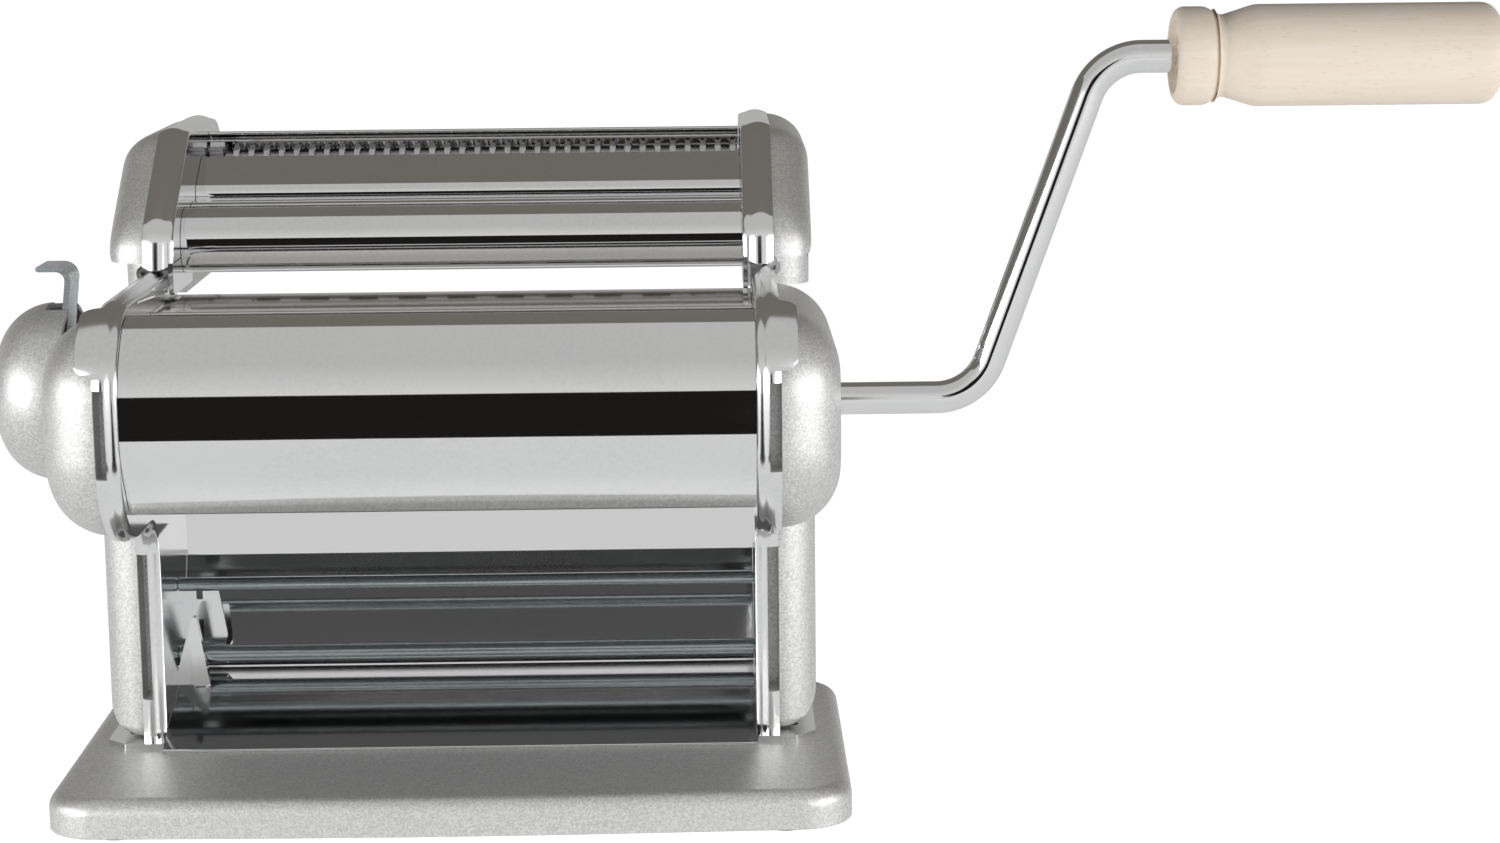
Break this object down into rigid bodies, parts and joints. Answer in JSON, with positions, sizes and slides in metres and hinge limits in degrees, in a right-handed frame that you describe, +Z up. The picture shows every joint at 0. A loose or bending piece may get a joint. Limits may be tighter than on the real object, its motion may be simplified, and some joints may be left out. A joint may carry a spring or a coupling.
{
  "type": "pasta roller machine",
  "caption": "Hand-cranked pasta roller with a domed thickness dial on its left side and a double cutter hooked onto the rear of its side plates.",
  "frame": {"origin": "middle of the four rubber feet, on the table", "axes": "+X to the crank side, +Y to the rear, +Z up"},
  "size_m": [0.3725, 0.1701, 0.1989],
  "materials": {
    "satin": "satin silver with a fine sparkle",
    "chrome": "polished, mirror-like",
    "zinc": "zinc-plated, dull",
    "steel": "ground steel, smooth",
    "bronze": "plain bronze-coloured metal",
    "wood": "turned beech, thinly lacquered",
    "rubber": "black, matt"
  },
  "bodies": {
    "frame": {"base_plate": "satin", "rubber_feet": "rubber", "left_side_plate": "chrome", "right_side_plate": "chrome", "lower_tie_rod": "zinc", "middle_tie_rod": "zinc", "rear_tie_rod": "zinc", "front_tie_rod": "zinc", "tie_rod_screws": "zinc", "left_end_cover": "satin", "right_end_cover": "satin", "cover_screws": "zinc", "base_screws": "zinc", "front_cover": "chrome", "rear_cover": "chrome", "chute": "chrome", "front_scraper": "steel", "rear_scraper": "steel", "roller_bushes": "bronze"},
    "drive": {"drive_roller": "steel", "drive_gear": "steel"},
    "crank": {"crank_rod": "chrome", "crank_pin": "steel", "grip_washer": "zinc"},
    "grip": {"crank_grip": "wood"},
    "dial": {"thickness_knob": "satin", "eccentric_axle": "steel", "latch_spring": "steel"},
    "latch": {"latch_lever": "zinc"},
    "sleeves": {"roller_sleeves": "bronze"},
    "rear_roll": {"rear_roller": "steel", "driven_gear": "steel"},
    "cutter": {"left_cutter_plate": "chrome", "right_cutter_plate": "chrome", "left_cutter_cover": "satin", "right_cutter_cover": "satin", "cutter_front_rod": "zinc", "cutter_rear_rod": "zinc", "cutter_rod_screws": "zinc", "cutter_front_shield": "chrome", "cutter_middle_shield": "chrome", "cutter_rear_shield": "chrome", "wide_comb_front": "bronze", "wide_comb_rear": "bronze", "narrow_comb_front": "bronze", "narrow_comb_rear": "bronze"},
    "wide_front": {"wide_cutter_front": "steel", "wide_gear_front": "steel"},
    "wide_rear": {"wide_cutter_rear": "steel", "wide_gear_rear": "steel"},
    "narrow_front": {"narrow_cutter_front": "steel", "narrow_gear_front": "steel"},
    "narrow_rear": {"narrow_cutter_rear": "steel", "narrow_gear_rear": "steel"}
  },
  "joints": [
    {"name": "drive_spin", "type": "hinge", "parent": "frame", "child": "drive", "pos_m": [0, -0.026, 0.1036], "axis": [1, 0, 0], "continuous": true},
    {"name": "crank_plug", "type": "slide", "parent": "drive", "child": "crank", "axis": [1, 0, 0], "range_m": [0, 0.03]},
    {"name": "grip_spin", "type": "hinge", "parent": "crank", "child": "grip", "pos_m": [0.217, -0.026, 0.1866], "axis": [1, 0, 0], "continuous": true},
    {"name": "dial_turn", "type": "hinge", "parent": "frame", "child": "dial", "pos_m": [-0.1, 0.00826, 0.1023], "axis": [1, 0, 0], "range_deg": [-55, 55]},
    {"name": "latch_pull", "type": "slide", "parent": "dial", "child": "latch", "axis": [-1, 0, 0], "range_m": [0, 0.003], "stiffness_N_per_m": 600, "springref_m": -0.004, "deforming": ["latch_spring"]},
    {"name": "sleeve_turn", "type": "hinge", "parent": "dial", "child": "sleeves", "pos_m": [0, 0.00826, 0.1036], "axis": [1, 0, 0], "range_deg": [-55, 55]},
    {"name": "rear_spin", "type": "hinge", "parent": "sleeves", "child": "rear_roll", "pos_m": [0, 0.00826, 0.1036], "axis": [1, 0, 0], "continuous": true},
    {"name": "cutter_slide", "type": "slide", "parent": "frame", "child": "cutter", "axis": [0, 1, 0], "range_m": [0, 0.05]},
    {"name": "wide_spin", "type": "hinge", "parent": "cutter", "child": "wide_rear", "pos_m": [0, 0.0567, 0.136], "axis": [1, 0, 0], "continuous": true},
    {"name": "wide_mate_spin", "type": "hinge", "parent": "cutter", "child": "wide_front", "pos_m": [0, 0.043, 0.136], "axis": [1, 0, 0], "continuous": true},
    {"name": "narrow_spin", "type": "hinge", "parent": "cutter", "child": "narrow_rear", "pos_m": [0, 0.08844, 0.151], "axis": [1, 0, 0], "continuous": true},
    {"name": "narrow_mate_spin", "type": "hinge", "parent": "cutter", "child": "narrow_front", "pos_m": [0, 0.0755, 0.1465], "axis": [1, 0, 0], "continuous": true}
  ],
  "couplings": [
    {"joint": "rear_spin", "follows": "drive_spin", "ratio": -1},
    {"joint": "sleeve_turn", "follows": "dial_turn", "ratio": -1},
    {"joint": "wide_mate_spin", "follows": "wide_spin", "ratio": -1},
    {"joint": "narrow_mate_spin", "follows": "narrow_spin", "ratio": -1}
  ]
}
